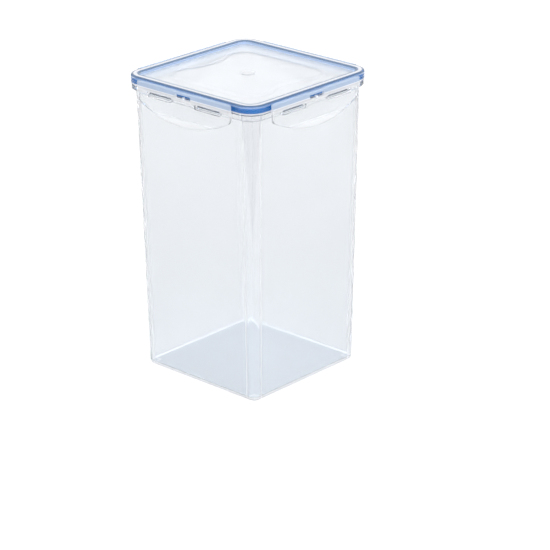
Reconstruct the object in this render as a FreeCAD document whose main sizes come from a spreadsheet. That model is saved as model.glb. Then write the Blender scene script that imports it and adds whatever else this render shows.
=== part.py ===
import FreeCAD
import Part
import Sketcher

import math
import os

# A tall square food canister: a tapered clear jar, a lid with a seal in its rim, and four latch
# flaps on living hinges whose slots snap over lugs on the collar of the jar.
# Frame: the origin is in the middle of the foot, +Z is up, lengths are millimetres.

SIZES = {
    # jar
    "jar_height": 250.6,
    "mouth_width": 135.8,
    "mouth_corner_radius": 11.6,
    "jar_taper": 5.5,
    "jar_wall": 1.5,
    "jar_floor": 1.4,
    "floor_bevel": 1.5,
    "base_edge_radius": 3.0,
    "foot_width": 5.0,
    "foot_corner_radius": 3.0,
    "stack_gap": 0.2,
    # collar and latch lugs of the jar
    "collar_setback": 0.5,
    "collar_drop": 2.4,
    "collar_height": 5.2,
    "collar_bevel": 1.8,
    "lug_drop": 0.6,
    "lug_height": 2.8,
    "lug_nose": 1.2,
    "lug_clearance": 0.25,
    "lug_end_gap": 1.0,
    # seal
    "seal_width": 4.4,
    "seal_height": 4.44,
    "seal_wall": 1.1,
    "seal_bevel": 0.8,
    "seal_leg_drop": 1.4,
    "seal_leg_gap": 0.3,
    "seal_side_gap": 0.1,
    "seal_top_gap": 0.1,
    "seal_seat_gap": 0.2,
    # lid rim
    "lid_wall": 1.3,
    "plug_gap": 0.5,
    "plug_depth": 3.8,
    "skirt_overlap": 1.4,
    "ridge_wall": 1.2,
    "ridge_edge_radius": 1.6,
    "ridge_inner_bevel": 0.8,
    "pinch_drop": 3.4,
    "pinch_height": 0.9,
    "pinch_depth": 0.5,
    # lid panel
    "moat_depth": 2.7,
    "panel_wall": 1.5,
    "pillow_width": 102.0,
    "pillow_length": 99.0,
    "pillow_waist": 86.4,
    "pillow_lobe_radius": 18.0,
    "pillow_rise": 0.7,
    "pillow_slope": 4.0,
    "pillow_hollow_inset": 1.0,
    "gate_diameter": 11.5,
    "gate_height": 0.2,
    # hinges between lid and flaps
    "hinge_drop": 2.1,
    "ledge_wall": 1.0,
    "ledge_rise": 0.6,
    "ledge_gap": 0.2,
    "ledge_end_inset": 1.5,
    "web_wall": 0.4,
    "web_seat": 0.9,
    "web_running_gap": 0.05,
    "web_end_inset": 1.0,
    # latch flaps
    "flap_length": 103.0,
    "flap_wall": 2.0,
    "flap_gap": 1.8,
    "flap_drop": 26.94,
    "flap_end_rise": 13.0,
    "flap_corner_radius": 6.0,
    "lip_flare": 1.87,
    "lip_height": 5.5,
    "lip_bow_radius": 200.0,
    "slot_centre": 26.75,
    "slot_length": 28.5,
    "slot_corner_cut": 0.8,
    "slot_gap_above": 0.9,
    "slot_gap_below": 0.6,
    "window_width": 17.0,
    "window_drop": 1.24,
    "window_height": 3.3,
    "window_tab_width": 1.4,
    "window_tab_height": 1.6,
}

# Sides of the canister, each turned about Z from the +X side on which its pieces are drawn
SIDES = {"right": 0, "back": 90, "left": 180, "front": 270}

MARGIN = 1.0
TOLERANCE = 1e-4

doc = FreeCAD.newDocument("FoodCanister")
sheet = doc.addObject("Spreadsheet::Sheet", "Sizes")
for row, (alias, number) in enumerate(SIZES.items(), start=1):
    sheet.set(f"A{row}", alias)
    sheet.set(f"B{row}", str(number))
    sheet.setAlias(f"B{row}", alias)
doc.recompute()

# Half-widths from the upright axis, worked outwards from the mouth of the jar
lip_half = "Sizes.mouth_width / 2"
base_half = f"{lip_half} - Sizes.jar_taper"
foot_inner = f"{base_half} - Sizes.base_edge_radius - Sizes.foot_width"
plug_outer = f"{lip_half} - Sizes.jar_wall - Sizes.plug_gap"
plug_inner = f"{plug_outer} - Sizes.lid_wall"
seal_inner = f"{plug_outer} + Sizes.seal_side_gap"
seal_outer = f"{seal_inner} + Sizes.seal_width"
skirt_inner = f"{seal_outer} + Sizes.seal_side_gap"
skirt_outer = f"{skirt_inner} + Sizes.lid_wall"
collar_half = f"{skirt_outer} - Sizes.collar_setback"
flap_inner = f"{skirt_outer} + Sizes.flap_gap"
flap_outer = f"{flap_inner} + Sizes.flap_wall"
lip_outer = f"{flap_outer} + Sizes.lip_flare"
lug_tip = f"{flap_inner} - Sizes.lug_clearance"
ledge_outer = f"{flap_inner} - Sizes.ledge_gap"
hinge_reach = f"{flap_inner} + Sizes.flap_wall / 2"
bead_radius = "Sizes.flap_wall / 2"

# Heights, worked upwards from the foot and then from the mouth
foot_height = "Sizes.pillow_rise + Sizes.gate_height + Sizes.stack_gap"
floor_top = f"{foot_height} + Sizes.jar_floor"
collar_top = "Sizes.jar_height - Sizes.collar_drop"
collar_bottom = f"{collar_top} - Sizes.collar_height"
lug_top = f"{collar_top} - Sizes.lug_drop"
lug_bottom = f"{lug_top} - Sizes.lug_height"
plug_bottom = "Sizes.jar_height - Sizes.plug_depth"
skirt_bottom = "Sizes.jar_height - Sizes.skirt_overlap"
seal_bottom = "Sizes.jar_height + Sizes.seal_seat_gap"
seal_top = f"{seal_bottom} + Sizes.seal_height"
channel_top = f"{seal_top} + Sizes.seal_top_gap"
ridge_top = f"{channel_top} + Sizes.ridge_wall"
pinch_bottom = f"{ridge_top} - Sizes.pinch_drop - Sizes.pinch_height"
moat_floor = f"{ridge_top} - Sizes.moat_depth"
panel_underside = f"{moat_floor} - Sizes.panel_wall"
pillow_top = f"{moat_floor} + Sizes.pillow_rise"
hinge_height = f"{ridge_top} - Sizes.hinge_drop"
ledge_top = f"{hinge_height} + Sizes.ledge_rise"
flap_bottom = f"{hinge_height} - Sizes.flap_drop"
flap_end_bottom = f"{flap_bottom} + Sizes.flap_end_rise"
lip_top = f"{flap_bottom} + Sizes.lip_height"


def value(expression):
    """The number that an expression gives with the sizes now in the sheet."""
    return float(sheet.evalExpression(expression))


def minus(expression):
    return f"-({expression})"


def concentric(half):
    """Corner radius of a square of this half-width that runs parallel to the mouth."""
    return f"Sizes.mouth_corner_radius + ({half}) - {lip_half}"


def new_body(label, turn=0):
    body = doc.addObject("PartDesign::Body", label)
    body.Label = label
    body.Placement.Rotation = FreeCAD.Rotation(FreeCAD.Vector(0, 0, 1), turn)
    return body


def origin_feature(body, role):
    return next(feature for feature in body.Origin.OriginFeatures if feature.Role == role)


def new_sketch(body, name, plane, offset="0"):
    """A sketch on one of the body's own planes, moved along the normal of that plane."""
    sketch = body.newObject("Sketcher::SketchObject", name)
    sketch.AttachmentSupport = [(origin_feature(body, plane), "")]
    sketch.MapMode = "FlatFace"
    sketch.setExpression("AttachmentOffset.Base.z", offset)
    return sketch


def dimension(sketch, kind, expression, *elements):
    constraint = sketch.addConstraint(Sketcher.Constraint(kind, *elements, value(expression)))
    sketch.setExpression(f"Constraints[{constraint}]", expression)


def place_point(sketch, geometry, end, across, up):
    """Dimension one end of a piece of geometry from the sketch origin."""
    dimension(sketch, "DistanceX", across, -1, 1, geometry, end)
    dimension(sketch, "DistanceY", up, -1, 1, geometry, end)


def arc_between(start, end, radius, turns_left):
    """Arc under half a circle, stored counter-clockwise as sketches keep it."""
    chord = end - start
    side = 1 if turns_left else -1
    left = FreeCAD.Vector(-chord.y, chord.x, 0).normalize()
    centre = (start + end) / 2 + left * side * math.sqrt(radius**2 - (chord.Length / 2) ** 2)
    first, last = (start, end) if turns_left else (end, start)
    angles = [math.atan2((point - centre).y, (point - centre).x) for point in (first, last)]
    circle = Part.Circle(centre, FreeCAD.Vector(0, 0, 1), radius)
    return Part.ArcOfCircle(circle, *angles)


def draw(sketch, outline):
    """Draw and dimension a closed outline.

    Each point is (across, up) where a straight run reaches it from the point before, or
    (across, up, radius, "left" or "right") where an arc that turns that way does.
    """
    points = [FreeCAD.Vector(value(point[0]), value(point[1]), 0) for point in outline]
    runs = []
    for index, point in enumerate(outline):
        start, end = points[index - 1], points[index]
        if len(point) == 2:
            geometry = sketch.addGeometry(Part.LineSegment(start, end))
            runs.append((geometry, 1, 2))
            continue
        radius, turn = point[2:]
        geometry = sketch.addGeometry(arc_between(start, end, value(radius), turn == "left"))
        runs.append((geometry, 1, 2) if turn == "left" else (geometry, 2, 1))
        dimension(sketch, "Radius", radius, geometry)
    for index, (geometry, first_end, last_end) in enumerate(runs):
        before, _, before_end = runs[index - 1]
        joint = Sketcher.Constraint("Coincident", before, before_end, geometry, first_end)
        sketch.addConstraint(joint)
        place_point(sketch, geometry, last_end, outline[index][0], outline[index][1])


def draw_circle(sketch, across, up, radius):
    centre = FreeCAD.Vector(value(across), value(up), 0)
    circle = Part.Circle(centre, FreeCAD.Vector(0, 0, 1), value(radius))
    geometry = sketch.addGeometry(circle)
    place_point(sketch, geometry, 3, across, up)
    dimension(sketch, "Radius", radius, geometry)


def box_outline(left, right, bottom, top, corner, *arc):
    """Rectangle from its lower right corner round, with corners cut straight or along an arc."""
    return [
        (right, f"{bottom} + ({corner})", *arc),
        (right, f"{top} - ({corner})"),
        (f"{right} - ({corner})", top, *arc),
        (f"{left} + ({corner})", top),
        (left, f"{top} - ({corner})", *arc),
        (left, f"{bottom} + ({corner})"),
        (f"{left} + ({corner})", bottom, *arc),
        (f"{right} - ({corner})", bottom),
    ]


def rounded_square(half, radius):
    return box_outline(minus(half), half, minus(half), half, radius, radius, "left")


def square_sketch(body, name, level, *squares):
    """Level sketch of one rounded square, or of a ring between two."""
    sketch = new_sketch(body, name, "XY_Plane", level)
    for half, radius in squares:
        draw(sketch, rounded_square(half, radius))
    return sketch


def settle(feature, grows):
    """Recompute, and make sure that the feature really added or removed material."""
    doc.recompute()
    before = feature.BaseFeature.Shape.Volume if feature.BaseFeature else 0.0
    change = feature.Shape.Volume - before
    if change == 0 or (change > 0) != grows:
        raise RuntimeError(f"{feature.Label} changed the volume by {change}")
    return feature


def pad(body, name, sketch, length, **settings):
    feature = body.newObject("PartDesign::Pad", name)
    feature.Profile = sketch
    feature.setExpression("Length", length)
    for setting, choice in settings.items():
        setattr(feature, setting, choice)
    return settle(feature, grows=True)


def pocket(body, name, sketch, length=None, upward=False):
    """Cut to a depth, or right through where no depth is given."""
    feature = body.newObject("PartDesign::Pocket", name)
    feature.Profile = sketch
    feature.Reversed = upward
    if length is None:
        feature.Type = "ThroughAll"
    else:
        feature.setExpression("Length", length)
    return settle(feature, grows=False)


def loft(body, kind, name, first, last):
    feature = body.newObject(f"PartDesign::{kind}", name)
    feature.Profile = first
    feature.Sections = [(last, [""])]
    feature.Ruled = True
    return settle(feature, grows=kind == "AdditiveLoft")


def around(body, name, originals):
    """Repeat features on all four sides."""
    feature = body.newObject("PartDesign::PolarPattern", name)
    feature.Originals = originals
    feature.Axis = (origin_feature(body, "Z_Axis"), [""])
    feature.Angle = 360
    feature.Occurrences = len(SIDES)
    body.Tip = feature
    return settle(feature, grows=True)


def dress(body, kind, name, edges, dimension_name, size):
    feature = body.newObject(f"PartDesign::{kind}", name)
    feature.Base = (feature.BaseFeature, edges)
    feature.setExpression(dimension_name, size)
    doc.recompute()
    return feature


def fillet(body, name, edges, radius):
    return dress(body, "Fillet", name, edges, "Radius", radius)


def chamfer(body, name, edges, size):
    return dress(body, "Chamfer", name, edges, "Size", size)


def edges_where(feature, test):
    """Names of the edges whose ends and middle all pass the test."""
    names = []
    for index, edge in enumerate(feature.Shape.Edges, start=1):
        middle = edge.valueAt((edge.FirstParameter + edge.LastParameter) / 2)
        ends = [vertex.Point for vertex in edge.Vertexes]
        if test(ends, middle):
            names.append(f"Edge{index}")
    return names


def square_edges(feature, level, half):
    """Edges of the rounded square of this half-width that lies at this level."""
    height, reach = value(level), value(half)

    def lies_there(ends, middle):
        level_now = all(abs(point.z - height) < TOLERANCE for point in [*ends, middle])
        widest = max(max(abs(point.x), abs(point.y)) for point in ends)
        return level_now and abs(widest - reach) < TOLERANCE

    return edges_where(feature, lies_there)


def jar_half_at(level):
    """Half-width of the tapered outside of the jar at a level."""
    return f"{base_half} + Sizes.jar_taper * ({level}) / Sizes.jar_height"


def make_jar():
    body = new_body("jar_body")
    base = square_sketch(body, "JarBase", "0", (base_half, concentric(base_half)))
    mouth = square_sketch(body, "JarMouth", "Sizes.jar_height", (lip_half, concentric(lip_half)))
    loft(body, "AdditiveLoft", "JarOutside", base, mouth)
    make_collar(body)
    make_lugs(body)

    floor_half = f"{jar_half_at(floor_top)} - Sizes.jar_wall"
    mouth_half = f"{lip_half} - Sizes.jar_wall"
    cavity_base = square_sketch(body, "CavityBase", floor_top, (floor_half, concentric(floor_half)))
    cavity_mouth = square_sketch(
        body, "CavityMouth", "Sizes.jar_height", (mouth_half, concentric(mouth_half))
    )
    loft(body, "SubtractiveLoft", "Cavity", cavity_base, cavity_mouth)

    foot = square_sketch(body, "FootRecess", "0", (foot_inner, "Sizes.foot_corner_radius"))
    pocket(body, "Foot", foot, foot_height, upward=True)
    fillet(body, "BaseEdge", square_edges(body.Tip, "0", base_half), "Sizes.base_edge_radius")
    floor_edges = square_edges(body.Tip, floor_top, floor_half)
    chamfer(body, "FloorEdge", floor_edges, "Sizes.floor_bevel")
    return body


def make_collar(body):
    """Bead below the mouth, bevelled under, that carries the lugs."""
    sketch = square_sketch(body, "Collar", collar_bottom, (collar_half, concentric(collar_half)))
    pad(body, "CollarBead", sketch, "Sizes.collar_height")
    edges = square_edges(body.Tip, collar_bottom, collar_half)
    chamfer(body, "CollarEdge", edges, "Sizes.collar_bevel")


def make_lugs(body):
    """Two wedges on each side, flat below where the flap hooks on and sloped above."""
    root = f"{collar_half} - Sizes.jar_wall / 2"
    wedge = [
        (root, lug_bottom),
        (lug_tip, lug_bottom),
        (lug_tip, f"{lug_bottom} + Sizes.lug_nose"),
        (collar_half, lug_top),
        (root, lug_top),
    ]
    lugs = []
    for name, side in (("LugA", ""), ("LugB", "-")):
        sketch = new_sketch(body, f"{name}Profile", "XZ_Plane", f"{side}Sizes.slot_centre")
        draw(sketch, wedge)
        length = "Sizes.slot_length - 2 * Sizes.lug_end_gap"
        lugs.append(pad(body, name, sketch, length, SideType="Symmetric"))
    around(body, "Lugs", lugs)


def make_lid():
    body = new_body("lid_cover")
    make_rim(body)
    make_panel(body)
    outer_edges = square_edges(body.Tip, ridge_top, skirt_outer)
    fillet(body, "RidgeOuterEdge", outer_edges, "Sizes.ridge_edge_radius")
    inner_edges = square_edges(body.Tip, ridge_top, plug_inner)
    chamfer(body, "RidgeInnerEdge", inner_edges, "Sizes.ridge_inner_bevel")
    make_ledges(body)
    return body


def make_rim(body):
    """Ridge with the channel for the seal: a skirt outside the mouth and a plug inside it."""
    outside = (skirt_outer, concentric(skirt_outer))
    plug = (plug_outer, concentric(plug_outer))
    block = square_sketch(body, "RimBlock", skirt_bottom, outside)
    pad(body, "Rim", block, f"{ridge_top} - ({skirt_bottom})")
    plug_sketch = square_sketch(body, "PlugOutside", plug_bottom, plug)
    pad(body, "Plug", plug_sketch, f"{skirt_bottom} - ({plug_bottom})")
    opening = square_sketch(body, "PlugInside", ridge_top, (plug_inner, concentric(plug_inner)))
    pocket(body, "RimOpening", opening)
    channel = square_sketch(
        body, "SealChannel", skirt_bottom, (skirt_inner, concentric(skirt_inner)), plug
    )
    pocket(body, "Channel", channel, f"{channel_top} - ({skirt_bottom})", upward=True)
    pinch = square_sketch(
        body,
        "PinchGroove",
        pinch_bottom,
        (f"{skirt_outer} + {MARGIN}", f"{concentric(skirt_outer)} + {MARGIN}"),
        (
            f"{skirt_outer} - Sizes.pinch_depth",
            f"{concentric(skirt_outer)} - Sizes.pinch_depth",
        ),
    )
    pocket(body, "Pinch", pinch, "Sizes.pinch_height", upward=True)


def pillow_outline(inset):
    """Raised panel: rounded lobes at the corners, drawn in to a waist on the left and right."""
    lobe = f"(Sizes.pillow_lobe_radius - ({inset}))"
    lobe_across = "(Sizes.pillow_width / 2 - Sizes.pillow_lobe_radius)"
    lobe_up = "(Sizes.pillow_length / 2 - Sizes.pillow_lobe_radius)"
    dip = f"(Sizes.pillow_waist / 2 - {lobe_across})"
    waist_rise = f"({dip}^2 + {lobe_up}^2 - Sizes.pillow_lobe_radius^2)"
    waist_radius = f"({waist_rise} / (2 * (Sizes.pillow_lobe_radius - {dip})))"
    span = f"(Sizes.pillow_lobe_radius + {waist_radius})"
    bend_across = f"({lobe_across} + {lobe} * ({dip} + {waist_radius}) / {span})"
    bend_up = f"({lobe_up} - {lobe} * {lobe_up} / {span})"
    top = f"({lobe_up} + {lobe})"
    waist = (f"{waist_radius} + ({inset})", "right")
    return [
        (bend_across, bend_up, *waist),
        (lobe_across, top, lobe, "left"),
        (minus(lobe_across), top),
        (minus(bend_across), bend_up, lobe, "left"),
        (minus(bend_across), minus(bend_up), *waist),
        (minus(lobe_across), minus(top), lobe, "left"),
        (lobe_across, minus(top)),
        (bend_across, minus(bend_up), lobe, "left"),
    ]


def pillow_sketch(body, name, level, inset):
    sketch = new_sketch(body, name, "XY_Plane", level)
    draw(sketch, pillow_outline(inset))
    return sketch


def make_panel(body):
    """Thin panel at the foot of the moat, raised in the middle and hollow below."""
    edge = f"{plug_inner} + Sizes.lid_wall / 2"
    sheet_sketch = square_sketch(body, "PanelSheet", panel_underside, (edge, concentric(edge)))
    pad(body, "Panel", sheet_sketch, "Sizes.panel_wall")
    foot = pillow_sketch(body, "PillowFoot", moat_floor, "0")
    crown = pillow_sketch(body, "PillowCrown", pillow_top, "Sizes.pillow_slope")
    loft(body, "AdditiveLoft", "Pillow", foot, crown)
    inset = "Sizes.pillow_hollow_inset"
    hollow_foot = pillow_sketch(body, "HollowFoot", panel_underside, inset)
    hollow_crown = pillow_sketch(
        body, "HollowCrown", f"{pillow_top} - Sizes.panel_wall", f"{inset} + Sizes.pillow_slope"
    )
    loft(body, "SubtractiveLoft", "PillowHollow", hollow_foot, hollow_crown)
    gate = new_sketch(body, "GateDisc", "XY_Plane", pillow_top)
    draw_circle(gate, "0", "0", "Sizes.gate_diameter / 2")
    pad(body, "Gate", gate, "Sizes.gate_height")


def make_ledges(body):
    """Ledge along each side of the rim, from which a flap hangs."""
    root = f"{skirt_outer} - Sizes.lid_wall / 2 - Sizes.pinch_depth / 2"
    half = "Sizes.flap_length / 2 - Sizes.ledge_end_inset"
    sketch = new_sketch(body, "LedgeProfile", "XZ_Plane")
    draw(
        sketch,
        [
            (root, f"{ledge_top} - Sizes.ledge_wall"),
            (ledge_outer, f"{ledge_top} - Sizes.ledge_wall"),
            (ledge_outer, ledge_top),
            (root, ledge_top),
        ],
    )
    ledge = pad(body, "Ledge", sketch, f"2 * ({half})", SideType="Symmetric")
    around(body, "Ledges", [ledge])


def make_seal():
    """Hollow ring on the mouth of the jar, with a leg that hangs outside the mouth."""
    body = new_body("seal_ring")
    ring = square_sketch(
        body,
        "SealRing",
        seal_bottom,
        (seal_outer, concentric(seal_outer)),
        (seal_inner, concentric(seal_inner)),
    )
    pad(body, "Ring", ring, "Sizes.seal_height")
    leg_inner = f"{lip_half} + Sizes.seal_leg_gap"
    leg_bottom = f"{seal_bottom} - Sizes.seal_leg_drop"
    leg = square_sketch(
        body,
        "SealLeg",
        leg_bottom,
        (seal_outer, concentric(seal_outer)),
        (leg_inner, concentric(leg_inner)),
    )
    pad(body, "Leg", leg, "Sizes.seal_leg_drop")
    edges = square_edges(body.Tip, leg_bottom, seal_outer)
    edges += square_edges(body.Tip, seal_bottom, seal_inner)
    edges += square_edges(body.Tip, seal_top, seal_outer)
    edges += square_edges(body.Tip, seal_top, seal_inner)
    chamfer(body, "RingEdges", edges, "Sizes.seal_bevel")
    bore_outer = f"{seal_outer} - Sizes.seal_wall"
    bore_inner = f"{seal_inner} + Sizes.seal_wall"
    bore = square_sketch(
        body,
        "SealBore",
        f"{seal_bottom} + Sizes.seal_wall",
        (bore_outer, concentric(bore_outer)),
        (bore_inner, concentric(bore_inner)),
    )
    pocket(body, "Bore", bore, "Sizes.seal_height - 2 * Sizes.seal_wall", upward=True)
    return body


def make_flap(side, turn):
    """Latch flap: a plate with a round bead on the hinge axis, two slots and a flared lip."""
    body = new_body(f"{side}_flap", turn)
    half = "Sizes.flap_length / 2"
    bow = f"(({half})^2 + Sizes.flap_end_rise^2) / (2 * Sizes.flap_end_rise)"
    plate = new_sketch(body, f"{side}_plate", "YZ_Plane", flap_inner)
    draw(
        plate,
        [
            (half, flap_end_bottom, bow, "left"),
            (half, hinge_height),
            (minus(half), hinge_height),
            (minus(half), flap_end_bottom),
        ],
    )
    pad(body, f"{side}_blank", plate, f"{lip_outer} - ({flap_inner})")
    flare_lip(body, side)
    round_corners(body, side)

    bead = new_sketch(body, f"{side}_bead_circle", "XZ_Plane")
    draw_circle(bead, hinge_reach, hinge_height, bead_radius)
    pad(body, f"{side}_bead", bead, "Sizes.flap_length", SideType="Symmetric")

    slots = new_sketch(body, f"{side}_slot_outlines", "YZ_Plane")
    slot_bottom = f"{lug_bottom} - Sizes.slot_gap_below"
    slot_top = f"{lug_top} + Sizes.slot_gap_above"
    for sign in ("", "-"):
        left = f"{sign}Sizes.slot_centre - Sizes.slot_length / 2"
        right = f"{sign}Sizes.slot_centre + Sizes.slot_length / 2"
        draw(slots, box_outline(left, right, slot_bottom, slot_top, "Sizes.slot_corner_cut"))
    pocket(body, f"{side}_slots", slots, upward=True)

    window = new_sketch(body, f"{side}_window_outline", "YZ_Plane")
    window_half = "Sizes.window_width / 2"
    window_top = f"{hinge_height} - Sizes.window_drop"
    window_bottom = f"{window_top} - Sizes.window_height"
    tab_half = "Sizes.window_tab_width / 2"
    tab_top = f"{window_bottom} + Sizes.window_tab_height"
    draw(
        window,
        [
            (window_half, window_bottom),
            (window_half, window_top),
            (minus(window_half), window_top),
            (minus(window_half), window_bottom),
            (minus(tab_half), window_bottom),
            (minus(tab_half), tab_top),
            (tab_half, tab_top),
            (tab_half, window_bottom),
        ],
    )
    pocket(body, f"{side}_window", window, upward=True)
    return body


def flare_lip(body, side):
    """Cut the blank to a plate whose lower edge leans out along a gentle bow."""
    run_out = f"Sizes.lip_flare * (Sizes.lip_height + {MARGIN}) / Sizes.lip_height"
    below = f"{flap_bottom} - {MARGIN}"
    outside = [
        (flap_outer, f"{hinge_height} + {MARGIN}"),
        (flap_outer, lip_top),
        (f"{flap_outer} + {run_out}", below),
        (f"{lip_outer} + {MARGIN}", below),
        (f"{lip_outer} + {MARGIN}", f"{hinge_height} + {MARGIN}"),
    ]
    inside = [
        (flap_inner, lip_top),
        (f"{flap_inner} - {MARGIN}", lip_top),
        (f"{flap_inner} - {MARGIN}", below),
        (f"{flap_inner} + {run_out}", below),
    ]
    axis_height = f"{lip_top} + Sizes.lip_bow_radius"
    for name, profile in (("outside", outside), ("inside", inside)):
        sketch = new_sketch(body, f"{side}_lip_{name}", "XZ_Plane")
        draw(sketch, profile)
        ends = [FreeCAD.Vector(reach, value(axis_height), 0) for reach in (0, MARGIN)]
        axis = sketch.addGeometry(Part.LineSegment(*ends), True)
        place_point(sketch, axis, 1, "0", axis_height)
        place_point(sketch, axis, 2, str(MARGIN), axis_height)
        groove = body.newObject("PartDesign::Groove", f"{side}_flare_{name}")
        groove.Profile = sketch
        groove.ReferenceAxis = (sketch, ["Axis0"])
        groove.Angle = 360
        settle(groove, grows=False)


def round_corners(body, side):
    """Round the two lower corners of the plate, where its ends meet the bowed edge."""
    half, height = value("Sizes.flap_length / 2"), value(flap_end_bottom)

    def is_corner(ends, middle):
        points = [*ends, middle]
        at_end = all(abs(abs(point.y) - half) < TOLERANCE for point in points)
        return at_end and all(abs(point.z - height) < TOLERANCE for point in points)

    corners = edges_where(body.Tip, is_corner)
    fillet(body, f"{side}_corners", corners, "Sizes.flap_corner_radius")


def make_web(side, turn, hand, sign):
    """Thin hinge strip that lies on the ledge and reaches over the bead of the flap."""
    body = new_body(f"{side}_hinge_web_{hand}", turn)
    clear_radius = f"({bead_radius} + Sizes.web_running_gap)"
    root = f"{ledge_outer} - Sizes.web_seat"
    crown = f"{hinge_height} + {clear_radius}"
    edge = f"{hinge_reach} - sqrt({clear_radius}^2 - Sizes.ledge_rise^2)"
    start = "(Sizes.window_width / 2 + Sizes.web_end_inset)"
    end = "(Sizes.flap_length / 2 - Sizes.ledge_end_inset - Sizes.web_end_inset)"
    middle = f"{sign} * ({start} + {end}) / 2"
    sketch = new_sketch(body, f"{side}_web_{hand}_profile", "XZ_Plane", middle)
    draw(
        sketch,
        [
            (root, ledge_top),
            (edge, ledge_top),
            (hinge_reach, crown, clear_radius, "right"),
            (hinge_reach, f"{crown} + Sizes.web_wall"),
            (root, f"{crown} + Sizes.web_wall"),
        ],
    )
    pad(body, f"{side}_web_{hand}_strip", sketch, f"{end} - {start}", SideType="Symmetric")
    return body


def make_all():
    pieces = [make_jar(), make_lid(), make_seal()]
    for side, turn in SIDES.items():
        pieces.append(make_flap(side, turn))
        # seen from outside, the sketch normal of the web points to the left of each side
        for hand, sign in (("left", "1"), ("right", "-1")):
            pieces.append(make_web(side, turn, hand, sign))
    return pieces


def check(pieces):
    for item in doc.Objects:
        if "Invalid" in item.State or "Error" in item.State:
            raise RuntimeError(f"{item.Label} did not build: {item.State}")
    for piece in pieces:
        if piece.Shape.isNull() or not piece.Shape.isValid() or len(piece.Shape.Solids) != 1:
            raise RuntimeError(f"{piece.Label} is not one sound solid")


pieces = make_all()
doc.recompute()
check(pieces)
os.makedirs("parts", exist_ok=True)
for piece in pieces:
    piece.Shape.exportStep(os.path.join("parts", f"{piece.Label}.step"))
    box = piece.Shape.BoundBox
    print(f"{piece.Label}: {piece.Shape.Volume / 1000:.2f} cm3, z {box.ZMin:.2f} to {box.ZMax:.2f}")
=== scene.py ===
import math

import bmesh
import bpy
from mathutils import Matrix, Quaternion, Vector


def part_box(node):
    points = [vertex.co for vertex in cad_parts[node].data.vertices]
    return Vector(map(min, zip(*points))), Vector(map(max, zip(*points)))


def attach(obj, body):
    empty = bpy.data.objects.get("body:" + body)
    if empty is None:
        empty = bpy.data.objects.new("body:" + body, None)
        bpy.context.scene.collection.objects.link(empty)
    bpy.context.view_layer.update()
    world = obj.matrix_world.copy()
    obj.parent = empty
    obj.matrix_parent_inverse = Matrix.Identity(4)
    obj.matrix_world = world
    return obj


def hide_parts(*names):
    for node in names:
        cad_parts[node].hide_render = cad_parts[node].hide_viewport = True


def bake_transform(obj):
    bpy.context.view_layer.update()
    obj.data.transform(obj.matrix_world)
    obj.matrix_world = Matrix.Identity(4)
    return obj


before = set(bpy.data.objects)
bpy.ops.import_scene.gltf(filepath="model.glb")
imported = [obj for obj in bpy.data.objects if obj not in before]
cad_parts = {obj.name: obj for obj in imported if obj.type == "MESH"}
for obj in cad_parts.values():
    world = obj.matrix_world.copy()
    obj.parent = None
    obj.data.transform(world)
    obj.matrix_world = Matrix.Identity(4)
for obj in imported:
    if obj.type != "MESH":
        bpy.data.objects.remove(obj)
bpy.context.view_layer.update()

SIDES = ("right", "back", "left", "front")
HANDS = ("left", "right")
MM = 0.001

# Camera of the photograph: where it stands, the point it looks at, its roll and its lens
CAMERA_PLACE = (1.28637, -1.35814, 0.82554)
CAMERA_LOOKS_AT = (0.03080, -0.00246, 0.08662)
CAMERA_ROLL = math.radians(-0.427)
CAMERA_LENS = 156.79
CAMERA_SENSOR = 36.0
CAMERA_NEAR = 0.05

# Strength of the world where it lights and where it is seen, glow of the floor where it is seen,
# and how often light may bounce in the plastic
WORLD_LIT, WORLD_SEEN = 0.62, 1.0
FLOOR_GLOW = 0.5
LIGHT_BOUNCES = 32

# Half-width of the floor in m, and how far in mm it lies under the foot of the jar
FLOOR_HALF = 4.0
FLOOR_DROP = 0.05

WHITE = (1.0, 1.0, 1.0, 1.0)
JAR_HAZE = (0.66, 0.72, 0.79, 1.0), (0.80, 0.84, 0.89, 1.0)
LID_HAZE = (0.84, 0.89, 0.95, 1.0), (0.93, 0.95, 0.98, 1.0)
# Painted highlight: white mixed into the plastic where light catches ridges, edges and corners
PAINTED_HIGHLIGHT = (0.97, 0.98, 1.0, 1.0)
# Painted blue: the colour of the seal seen through the clear plastic, painted on it
SEAL_SEEN_THROUGH = (0.68, 0.81, 1.0, 1.0)
# Painted shade: dark lines on the inner and outer edges of the lid's ridge, in that order, dark
# blue like the seal seen through the edge
RIDGE_INNER_SHADE = (0.16, 0.25, 0.38, 1.0)
RIDGE_OUTER_SHADE = (0.10, 0.18, 0.30, 1.0)
# Painted shade grey, for a wedge on each corner of the jar and a ring round the gate mark
PAINTED_SHADE_GREY = (0.50, 0.53, 0.60, 1.0)
# Painted shade: grey-blue over the jar's floor plate
PAINTED_FLOOR_SHADE = (0.60, 0.65, 0.72, 1.0)
DEPTH_COLOUR = (0.66, 0.74, 0.84, 1.0)
DIM_MIRROR = (0.30, 0.33, 0.37, 1.0)
SHADOW_FILM = (0.95, 0.96, 0.97, 1.0)
SEAL_BLUE = (0.001, 0.145, 0.47, 1.0), (0.003, 0.195, 0.58, 1.0)
PALE_GREY = (0.6, 0.6, 0.6, 1.0)

# How strongly the plastic and the silicone bend light
PLASTIC_IOR, SILICONE_IOR = 1.49, 1.41

# Scales of the unevenness in the mouldings, and the depth of their ripples in mm
RIPPLE_SCALE, GRAIN_SCALE, CLOUD_SCALE = 26.0, 900.0, 14.0
SILICONE_SCALE = 60.0
RIPPLE_DEPTH = 2.0
GRAIN_SHARE = 0.01

# Colour sockets of a Mix node
MIX_FIRST, MIX_SECOND, MIX_RESULT = 6, 7, 2
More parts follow.
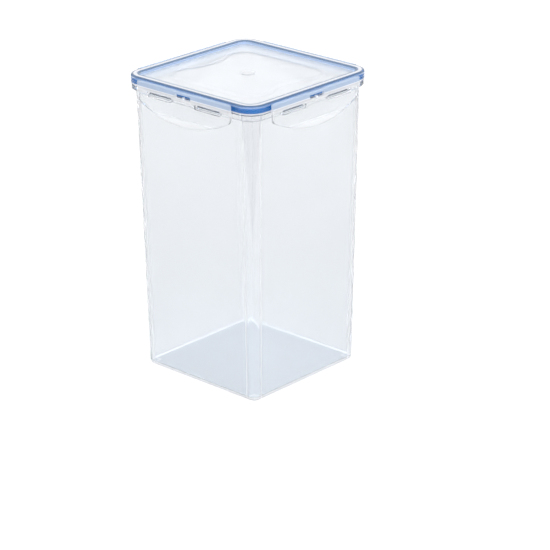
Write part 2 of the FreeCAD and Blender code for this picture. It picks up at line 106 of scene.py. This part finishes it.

# Zones where the plastic is hazier, and where painted highlight, painted shade and the painted
# blue of the seal seen through are mixed in. Each bound names a way to measure the place, and
# where in mm the zone begins and where it is full. The last two entries are the share that is
# mixed in and its colour.
JAR_ZONES = (
    # painted shade: grey-blue over the jar's floor plate, as shade under the jar
    ((("height", 4.0, 2.6),), 0.2, PAINTED_FLOOR_SHADE),
    ((("height", 220.0, 0.0),), 0.07, None),
    # painted highlight: white lines where each corner of the jar begins
    ((("corner_line", 53.0, 53.6), ("corner_line", 54.8, 54.2)), 0.22, PAINTED_HIGHLIGHT),
    # painted shade: grey wedge on each corner of the jar that narrows downwards
    ((("narrow", 48.0, 52.0), ("wedge", 0.6, -0.6)), 0.012, PAINTED_SHADE_GREY),
    # painted highlight: white along the bottom edges of the jar
    ((("ring", 58.8, 59.6), ("height", 4.0, 3.2)), 0.35, PAINTED_HIGHLIGHT),
)
LID_ZONES = (
    ((("ring", 64.6, 63.8),), 0.28, None),
    # painted highlight: white band along the top of the lid's ridge
    ((("height", 256.2, 256.5), ("ring", 66.3, 67.0), ("ring", 70.1, 69.3)), 0.85, PAINTED_HIGHLIGHT),
    # painted shade: dark line on the inner top edge of the ridge
    ((("height", 255.7, 256.0), ("ring", 66.9, 66.0)), 0.9, RIDGE_INNER_SHADE),
    # painted shade: dark blue line on the outer edge of the ridge
    ((("height", 255.4, 255.8), ("ring", 69.5, 70.3)), 0.75, RIDGE_OUTER_SHADE),
    # painted blue of the seal seen through the inner side of the ridge
    ((("height", 255.8, 255.4), ("ring", 65.0, 64.8), ("ring", 63.5, 64.2)), 0.7, SEAL_SEEN_THROUGH),
    # painted blue of the seal seen through the skirt below the ridge
    ((("height", 254.1, 254.5), ("height", 255.5, 255.1), ("ring", 70.8, 71.4)), 0.4, SEAL_SEEN_THROUGH),
    # painted highlight: white on the lowest edge of the skirt towards the corners
    ((("height", 250.5, 249.9), ("ring", 70.0, 70.6), ("narrow", 36.0, 46.0)), 0.6, PAINTED_HIGHLIGHT),
    # painted shade: grey ring round the raised gate mark in the middle of the lid
    ((("spot", 5.1, 5.5), ("spot", 6.4, 6.0), ("height", 254.2, 254.4)), 0.35, PAINTED_SHADE_GREY),
)
FLAP_ZONES = (
    # painted blue of the seal seen through the flap's hinge band
    ((("height", 250.6, 251.6),), 0.42, SEAL_SEEN_THROUGH),
    # painted highlight: white band on the flap below its hinge band
    ((("height", 246.5, 248.5), ("height", 252.0, 251.0)), 0.45, PAINTED_HIGHLIGHT),
    # painted highlight: white on the lower lip of the flap
    ((("height", 235.0, 231.0),), 0.25, PAINTED_HIGHLIGHT),
    # painted highlight: white at the ends of the flap
    ((("narrow", 50.4, 51.2), ("height", 251.0, 249.5)), 0.6, PAINTED_HIGHLIGHT),
)

# Jar in mm: half-width at the foot, taper to the mouth, height, centre of its corners and wall
FOOT_HALF, TAPER, JAR_HEIGHT = 62.4, 5.5, 250.6
CORNER_CENTRE = 56.3
JAR_WALL = 1.5
BASE_RADIUS, FLOOR_RADIUS = 3.0, 1.5
FLOOR_TOP = 2.5
RECESS_HALF, RECESS_RADIUS, RECESS_TOP = 54.4, 3.0, 1.1
COLLAR_HALF, COLLAR_BOTTOM, COLLAR_TOP, COLLAR_BEVEL = 71.3, 243.0, 248.2, 1.8
LUG_SECTION = [(70.6, 244.8), (73.35, 244.8), (73.35, 246.0), (71.3, 247.6), (70.6, 247.6)]
LUG_CENTRE, LUG_LENGTH = 26.75, 26.5

# How finely the jar is rounded: steps of a corner, the base, a lip and the floor's edge, and the
# angle in degrees from which an edge stays sharp
CORNER_STEPS, BASE_STEPS, LIP_STEPS, FLOOR_STEPS = 24, 8, 3, 5
SHARP_FROM = 30

# Lean of the line where a corner of the jar begins, and the spread and the foot in mm of the
# wedge of painted shade on it
CORNER_LEAN = 0.0132
WEDGE_SPREAD, WEDGE_FOOT = 0.1, 141.0

# Hinge axis of a flap on its side, and the thin hinge skin over its bead (mm but for the axis)
OUTWARD = {"right": (1, 0, 0), "back": (0, 1, 0), "left": (-1, 0, 0), "front": (0, -1, 0)}
HINGE_REACH = 74.6 * MM
HINGE_HEIGHT = 254.44 * MM
SKIN_ROOT, SKIN_EDGE = -2.1, -1.2
SKIN_SEAT = 0.61
SKIN_WALL = 0.16
SKIN_RADIUS = 1.01
SKIN_STEPS = 10

# Where on the bead in degrees the skin begins, and how far over it the skin goes
SKIN_FROM, SKIN_SWEEP = 140.0, 50.0

# Soft edges of the flaps in mm and from which angle in degrees, swell of the seal in mm, and how
# near in mm the edges of a carried-over piece are joined
SOFT_EDGE, SOFT_FROM = 0.5, 40
SEAL_SWELL = 0.14
WELD_REACH = 0.001


class Value:
    """A number in a material's nodes that takes part in Python expressions."""

    def __init__(self, finish, socket):
        self.finish = finish
        self.socket = socket

    def __add__(self, other):
        return self.finish.math("ADD", self, other)

    def __sub__(self, other):
        return self.finish.math("SUBTRACT", self, other)

    def __rsub__(self, other):
        return self.finish.math("SUBTRACT", other, self)

    def __mul__(self, other):
        return self.finish.math("MULTIPLY", self, other)

    __radd__ = __add__
    __rmul__ = __mul__


class Finish:
    """The node tree of one material or of the world."""

    def __init__(self, owner):
        self.owner = owner
        owner.use_nodes = True
        self.tree = owner.node_tree
        self.tree.nodes.clear()

    def node(self, kind, settings=None, inputs=None, output=0):
        """Add a node, set it up, feed its inputs and return one of its outputs, if it has any."""
        node = self.tree.nodes.new("ShaderNode" + kind)
        for name, setting in (settings or {}).items():
            setattr(node, name, setting)
        for name, given in (inputs or {}).items():
            if isinstance(given, Value):
                self.tree.links.new(given.socket, node.inputs[name])
            else:
                node.inputs[name].default_value = given
        return Value(self, node.outputs[output]) if node.outputs else None

    def math(self, operation, *values):
        return self.node("Math", {"operation": operation}, dict(enumerate(values)))

    def mixed(self, factor, first, second):
        """A colour between two others."""
        return self.node("Mix", {"data_type": "RGBA"}, {
            "Factor": factor, MIX_FIRST: first, MIX_SECOND: second}, output=MIX_RESULT)

    def noise(self, scale, detail):
        place = self.node("TexCoord", output="Object")
        return self.node("TexNoise", {}, {"Vector": place, "Scale": scale, "Detail": detail})

    def step(self, given, low, high):
        """Smooth step from 0 to 1 between two places in mm."""
        return self.node("MapRange", {"interpolation_type": "SMOOTHSTEP"}, {
            "Value": given, "From Min": low * MM, "From Max": high * MM})

    def along(self, axis):
        place = self.node("TexCoord", output="Object")
        return self.node("SeparateXYZ", {}, {0: place}, output=axis)

    def height(self):
        return self.along("Z")

    def sideways(self):
        """How far a point is from the middle along X and along Y."""
        return [self.math("ABSOLUTE", self.along(axis)) for axis in "XY"]

    def narrow(self):
        """The smaller of the two, which is large only at the corners."""
        return self.math("MINIMUM", *self.sideways())

    def ring(self):
        """Half-width of the rounded square through a point."""
        beyond = [self.math("MAXIMUM", way - CORNER_CENTRE * MM, 0.0) for way in self.sideways()]
        squares = beyond[0] * beyond[0] + beyond[1] * beyond[1]
        return self.math("SQRT", squares) + CORNER_CENTRE * MM

    def spot(self):
        """Distance from the upright axis."""
        across, along = self.sideways()
        return self.math("SQRT", across * across + along * along)

    def corner_line(self):
        """Like narrow, but along the line where the corner of the jar begins at each height."""
        return self.narrow() - CORNER_LEAN * self.height()

    def wedge(self):
        """Below 0 in a wedge on each corner of the jar that narrows downwards."""
        across, along = self.sideways()
        aside = self.math("ABSOLUTE", across - along)
        return aside - WEDGE_SPREAD * (self.height() - WEDGE_FOOT * MM)

    def zone(self, bounds):
        """1 where a point is inside all the bounds of a zone, 0 outside it."""
        inside = None
        for measure, begin, full in bounds:
            step = self.step(getattr(self, measure)(), begin, full)
            inside = step if inside is None else inside * step
        return inside

    def seen(self, *rays):
        """1 for rays of these kinds and for those that come straight from the camera."""
        total = self.node("LightPath", output="Is Camera Ray")
        for ray in rays:
            total = total + self.node("LightPath", output=f"Is {ray} Ray")
        return self.math("MINIMUM", total, 1.0)

    def end(self, surface, volume=None, kind="OutputMaterial"):
        inputs = {"Surface": surface}
        if volume is not None:
            inputs["Volume"] = volume
        self.node(kind, {}, inputs)
        return self.owner


def clear_plastic(name, haze, depth, ripples, mirror, colours, zones):
    """Moulded clear plastic: glassy with a share of haze, soft ripples and fine roughness, and
    zones of haze, painted highlight, painted shade and painted see-through blue.
    """
    finish = Finish(bpy.data.materials.new(name))
    ripple = finish.noise(RIPPLE_SCALE, 1.0)
    grain = finish.noise(GRAIN_SCALE, 2.0)
    cloud = finish.noise(CLOUD_SCALE, 3.0)
    bump = finish.node("Bump", {}, {
        "Height": ripple + GRAIN_SHARE * grain,
        "Strength": ripples,
        "Distance": RIPPLE_DEPTH * MM,
    })
    clear = finish.node("BsdfPrincipled", {}, {
        "Base Color": WHITE,
        "Roughness": 0.04 + 0.06 * cloud,
        "IOR": PLASTIC_IOR,
        "Specular Tint": mirror,
        "Transmission Weight": 1.0,
        "Normal": bump,
    })
    haze_and_painted_colour = finish.mixed(cloud, *colours)
    share = haze * (0.8 + 0.4 * cloud)
    # The zones add haze and paint highlights, shade and the blue of the seal seen through
    for bounds, amount, colour in zones:
        inside = finish.zone(bounds)
        share = share + amount * inside
        if colour:
            haze_and_painted_colour = finish.mixed(inside, haze_and_painted_colour, colour)
    hazy_and_painted = finish.node("BsdfPrincipled", {}, {
        "Base Color": haze_and_painted_colour, "Roughness": 0.3 + 0.1 * cloud, "Normal": bump})
    body = finish.node("MixShader", {}, {0: share, 1: clear, 2: hazy_and_painted})
    lamp_ray = finish.node("LightPath", output="Is Shadow Ray")
    film = finish.node("BsdfTransparent", {}, {"Color": SHADOW_FILM})
    surface = finish.node("MixShader", {}, {0: lamp_ray, 1: body, 2: film})
    inside = finish.node("VolumeAbsorption", {}, {"Color": DEPTH_COLOUR, "Density": depth})
    return finish.end(surface, inside)


def blue_silicone():
    finish = Finish(bpy.data.materials.new("blue_silicone"))
    cloud = finish.noise(SILICONE_SCALE, 3.0)
    body = finish.node("BsdfPrincipled", {}, {
        "Base Color": finish.mixed(cloud, *SEAL_BLUE),
        "Roughness": 0.35 + 0.2 * cloud,
        "IOR": SILICONE_IOR,
    })
    return finish.end(body)


def new_piece(name, points, faces, material):
    mesh = bpy.data.meshes.new(name)
    mesh.from_pydata(points, [], faces)
    mesh.materials.append(material)
    piece = bpy.data.objects.new(name, mesh)
    bpy.context.scene.collection.objects.link(piece)
    return piece


def turn_out(mesh):
    """Turn all faces of a closed mesh outwards."""
    work = bmesh.new()
    work.from_mesh(mesh)
    bmesh.ops.recalc_face_normals(work, faces=work.faces)
    work.to_mesh(mesh)
    work.free()


def prism(first, last):
    """Faces of a closed bar between two loops of points that follow each other in a list."""
    count = last - first
    faces = [tuple(range(first, last)), tuple(reversed(range(last, last + count)))]
    for index in range(count):
        after = (index + 1) % count
        faces.append((first + after, first + index, last + index, last + after))
    return faces


def hinge_skin(side, hand, material):
    """Thin strip from the ledge of the lid over the bead of a flap."""
    node = f"{side}_hinge_web_{hand}"
    low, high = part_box(node)
    out = Vector(OUTWARD[side])
    along = Vector((-out.y, out.x, 0.0))
    reach = sorted((Vector(low).dot(along), Vector(high).dot(along)))
    axis = out * HINGE_REACH + Vector((0.0, 0.0, HINGE_HEIGHT))
    under = [(SKIN_ROOT, SKIN_SEAT), (SKIN_EDGE, SKIN_SEAT)]
    over = [(SKIN_ROOT, SKIN_SEAT + SKIN_WALL), (SKIN_EDGE, SKIN_SEAT + SKIN_WALL)]
    for step in range(SKIN_STEPS + 1):
        angle = math.radians(SKIN_FROM - SKIN_SWEEP * step / SKIN_STEPS)
        for line, radius in ((under, SKIN_RADIUS), (over, SKIN_RADIUS + SKIN_WALL)):
            line.append((radius * math.cos(angle), radius * math.sin(angle)))
    loop = under + over[::-1]
    points = []
    for end in reach:
        for outwards, up in loop:
            points.append(axis + out * outwards * MM + along * end + Vector((0, 0, up * MM)))
    skin = new_piece(f"{side}_hinge_skin_{hand}", points, prism(0, len(loop)), material)
    turn_out(skin.data)
    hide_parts(node)
    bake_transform(skin)


def jar_half(height):
    return FOOT_HALF + TAPER * height / JAR_HEIGHT


def quarter(centre, rise, radius, first, steps):
    """Points of a quarter round in the jar's section, from an angle in degrees upwards."""
    turns = [math.radians(first + 90.0 * step / steps) for step in range(steps + 1)]
    return [(centre + radius * math.cos(turn), rise + radius * math.sin(turn)) for turn in turns]


def jar_section():
    """Outside of the jar from the foot up to the mouth, then its inside down to the floor."""
    mouth = jar_half(JAR_HEIGHT)
    floor_edge = FLOOR_TOP + FLOOR_RADIUS
    inside = jar_half(floor_edge) - JAR_WALL
    lip = JAR_WALL / 5
    points = quarter(FOOT_HALF - BASE_RADIUS, BASE_RADIUS, BASE_RADIUS, -90, BASE_STEPS)
    points += [
        (jar_half(COLLAR_BOTTOM), COLLAR_BOTTOM),
        (COLLAR_HALF - COLLAR_BEVEL, COLLAR_BOTTOM),
        (COLLAR_HALF, COLLAR_BOTTOM + COLLAR_BEVEL),
    ]
    points += quarter(COLLAR_HALF - lip, COLLAR_TOP - lip, lip, 0, LIP_STEPS)
    points += [(jar_half(COLLAR_TOP), COLLAR_TOP)]
    points += quarter(mouth - lip, JAR_HEIGHT - lip, lip, 0, LIP_STEPS)
    points += quarter(mouth - JAR_WALL + lip, JAR_HEIGHT - lip, lip, 90, LIP_STEPS)
    points += quarter(inside - FLOOR_RADIUS, floor_edge, FLOOR_RADIUS, 270, FLOOR_STEPS)[::-1]
    return points


def square_ring(half, radius, height):
    """Points of a level rounded square, in metres."""
    points = []
    for corner in range(4):
        for step in range(CORNER_STEPS + 1):
            turn = math.radians(90.0 * (corner + step / CORNER_STEPS))
            middle = math.radians(90.0 * corner + 45.0)
            reach = (half - radius) * math.sqrt(2.0)
            points.append(Vector((
                reach * math.cos(middle) + radius * math.cos(turn),
                reach * math.sin(middle) + radius * math.sin(turn),
                height)) * MM)
    return points


def jar_shell(material):
    """The jar with round corners and edges, and its lugs grown on to the collar."""
    rings = [(RECESS_HALF, RECESS_RADIUS, height) for height in (RECESS_TOP, 0.0)]
    rings += [(half, half - CORNER_CENTRE, height) for half, height in jar_section()]
    points = []
    for ring in rings:
        points += square_ring(*ring)
    count = 4 * (CORNER_STEPS + 1)
    end = len(points)
    faces = [tuple(reversed(range(count))), tuple(range(end - count, end))]
    for start in range(0, end - count, count):
        above = start + count
        for index in range(count):
            after = (index + 1) % count
            faces.append((start + index, start + after, above + after, above + index))
    shell = new_piece("jar_shell", points, faces, material)
    join_lugs(shell)
    shell.data.polygons.foreach_set("use_smooth", [True] * len(shell.data.polygons))
    shell.data.set_sharp_from_angle(angle=math.radians(SHARP_FROM))
    straight = shell.modifiers.new("flat_walls", "WEIGHTED_NORMAL")
    straight.weight = 100
    straight.keep_sharp = True
    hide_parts("jar_body")
    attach(shell, "jar")


def join_lugs(shell):
    """Grow the eight lugs on to the collar of the jar."""
    points, faces = [], []
    for side in SIDES:
        out = Vector(OUTWARD[side])
        along = Vector((-out.y, out.x, 0.0))
        for middle in (-LUG_CENTRE, LUG_CENTRE):
            first = len(points)
            for end in (middle - LUG_LENGTH / 2, middle + LUG_LENGTH / 2):
                for reach, height in LUG_SECTION:
                    points.append((out * reach + along * end + Vector((0, 0, height))) * MM)
            faces += prism(first, first + len(LUG_SECTION))
    lugs = new_piece("lugs", points, faces, shell.data.materials[0])
    for piece in (shell, lugs):
        turn_out(piece.data)
    union = shell.modifiers.new("lugs", "BOOLEAN")
    union.operation = "UNION"
    union.solver = "EXACT"
    union.object = lugs
    joined = shell.evaluated_get(bpy.context.evaluated_depsgraph_get())
    mesh = bpy.data.meshes.new_from_object(joined)
    shell.modifiers.clear()
    shell.data = mesh
    bpy.data.objects.remove(lugs)


def weld(piece):
    """Join the faces of a carried-over piece at their common edges."""
    piece.modifiers.new("one_skin", "WELD").merge_threshold = WELD_REACH * MM


def soften(piece, highlight_material):
    """Round the sharp edges of a moulded piece a little, and give the rounds a whiter plastic as
    a painted highlight.
    """
    weld(piece)
    piece.data.materials.append(highlight_material)
    bevel = piece.modifiers.new("soft_edges", "BEVEL")
    bevel.material = 1
    bevel.width = SOFT_EDGE * MM
    bevel.segments = 2
    bevel.limit_method = "ANGLE"
    bevel.angle_limit = math.radians(SOFT_FROM)
    bevel.use_clamp_overlap = True
    bevel.harden_normals = True


def squeeze(piece):
    """Let a soft ring fill the small gaps to the walls it is pressed against."""
    weld(piece)
    press = piece.modifiers.new("pressed", "DISPLACE")
    press.strength = SEAL_SWELL * MM
    press.mid_level = 0.0


def wear(piece, material):
    piece.data.materials.clear()
    piece.data.materials.append(material)


def light_world():
    """White where it is seen, softer where it lights."""
    world = bpy.data.worlds.new("studio")
    bpy.context.scene.world = world
    finish = Finish(world)
    lit, bright = [finish.node("Background", {}, {"Color": WHITE, "Strength": level})
        for level in (WORLD_LIT, WORLD_SEEN)]
    seen = finish.seen("Glossy", "Transmission")
    sky = finish.node("MixShader", {}, {0: seen, 1: lit, 2: bright})
    finish.end(sky, kind="OutputWorld")


def add_lamp(name, strength, spread, azimuth, elevation):
    """Soft lamp from a direction in degrees."""
    lamp = bpy.data.lights.new(name, "SUN")
    lamp.energy = strength
    lamp.angle = math.radians(spread)
    item = bpy.data.objects.new(name, lamp)
    turn, rise = math.radians(azimuth), math.radians(elevation)
    towards = Vector((
        math.sin(turn) * math.cos(rise), -math.cos(turn) * math.cos(rise), math.sin(rise)))
    item.rotation_mode = "QUATERNION"
    item.rotation_quaternion = towards.to_track_quat("Z", "Y")
    bpy.context.scene.collection.objects.link(item)


def add_floor():
    """Pale floor that takes the shadow of the canister."""
    finish = Finish(bpy.data.materials.new("white_floor"))
    matt = finish.node("BsdfDiffuse", {}, {"Color": PALE_GREY})
    glow = finish.node("Emission", {}, {"Color": WHITE, "Strength": FLOOR_GLOW})
    white = finish.node("AddShader", {}, {0: matt, 1: glow})
    seen = finish.seen("Glossy", "Transmission")
    pale = finish.end(finish.node("MixShader", {}, {0: seen, 1: matt, 2: white}))
    half = FLOOR_HALF
    corners = [(-half, -half, 0), (half, -half, 0), (half, half, 0), (-half, half, 0)]
    floor = new_piece("floor", corners, [(0, 1, 2, 3)], pale)
    floor.location.z = -FLOOR_DROP * MM


def add_camera():
    camera = bpy.data.cameras.new("photo_camera")
    camera.lens = CAMERA_LENS
    camera.sensor_width = CAMERA_SENSOR
    camera.clip_start = CAMERA_NEAR
    item = bpy.data.objects.new("photo_camera", camera)
    item.location = CAMERA_PLACE
    ahead = Vector(CAMERA_LOOKS_AT) - Vector(CAMERA_PLACE)
    item.rotation_mode = "QUATERNION"
    level = ahead.to_track_quat("-Z", "Y")
    item.rotation_quaternion = level @ Quaternion((0, 0, 1), CAMERA_ROLL)
    bpy.context.scene.collection.objects.link(item)
    bpy.context.scene.camera = item


jar_plastic = clear_plastic(
    "jar_plastic", haze=0.15, depth=10.0, ripples=0.002, mirror=DIM_MIRROR,
    colours=JAR_HAZE, zones=JAR_ZONES)
lid_plastic = clear_plastic(
    "lid_plastic", haze=0.01, depth=10.0, ripples=0.012, mirror=WHITE,
    colours=LID_HAZE, zones=LID_ZONES)
flap_plastic = clear_plastic(
    "flap_plastic", haze=0.11, depth=1.0, ripples=0.012, mirror=WHITE,
    colours=LID_HAZE, zones=FLAP_ZONES)
# painted highlight: much whiter haze on the rounded edges of the flaps
edge_highlight_plastic = clear_plastic(
    "edge_highlight_plastic", haze=0.55, depth=1.0, ripples=0.012, mirror=WHITE,
    colours=LID_HAZE, zones=())
silicone = blue_silicone()

for node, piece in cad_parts.items():
    if node == "seal_ring":
        wear(piece, silicone)
    elif node.endswith("flap"):
        wear(piece, flap_plastic)
    else:
        wear(piece, lid_plastic)
jar_shell(jar_plastic)
for side in SIDES:
    soften(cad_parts[f"{side}_flap"], edge_highlight_plastic)
    for hand in HANDS:
        hinge_skin(side, hand, flap_plastic)

squeeze(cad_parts["seal_ring"])

light_world()
add_lamp("left_softbox", strength=0.75, spread=30, azimuth=15, elevation=45)
add_lamp("right_softbox", strength=0.95, spread=30, azimuth=80, elevation=45)
add_floor()
add_camera()
bpy.context.scene.view_settings.view_transform = "Standard"
for kind in ("max", "transmission", "glossy", "transparent_max"):
    setattr(bpy.context.scene.cycles, f"{kind}_bounces", LIGHT_BOUNCES)
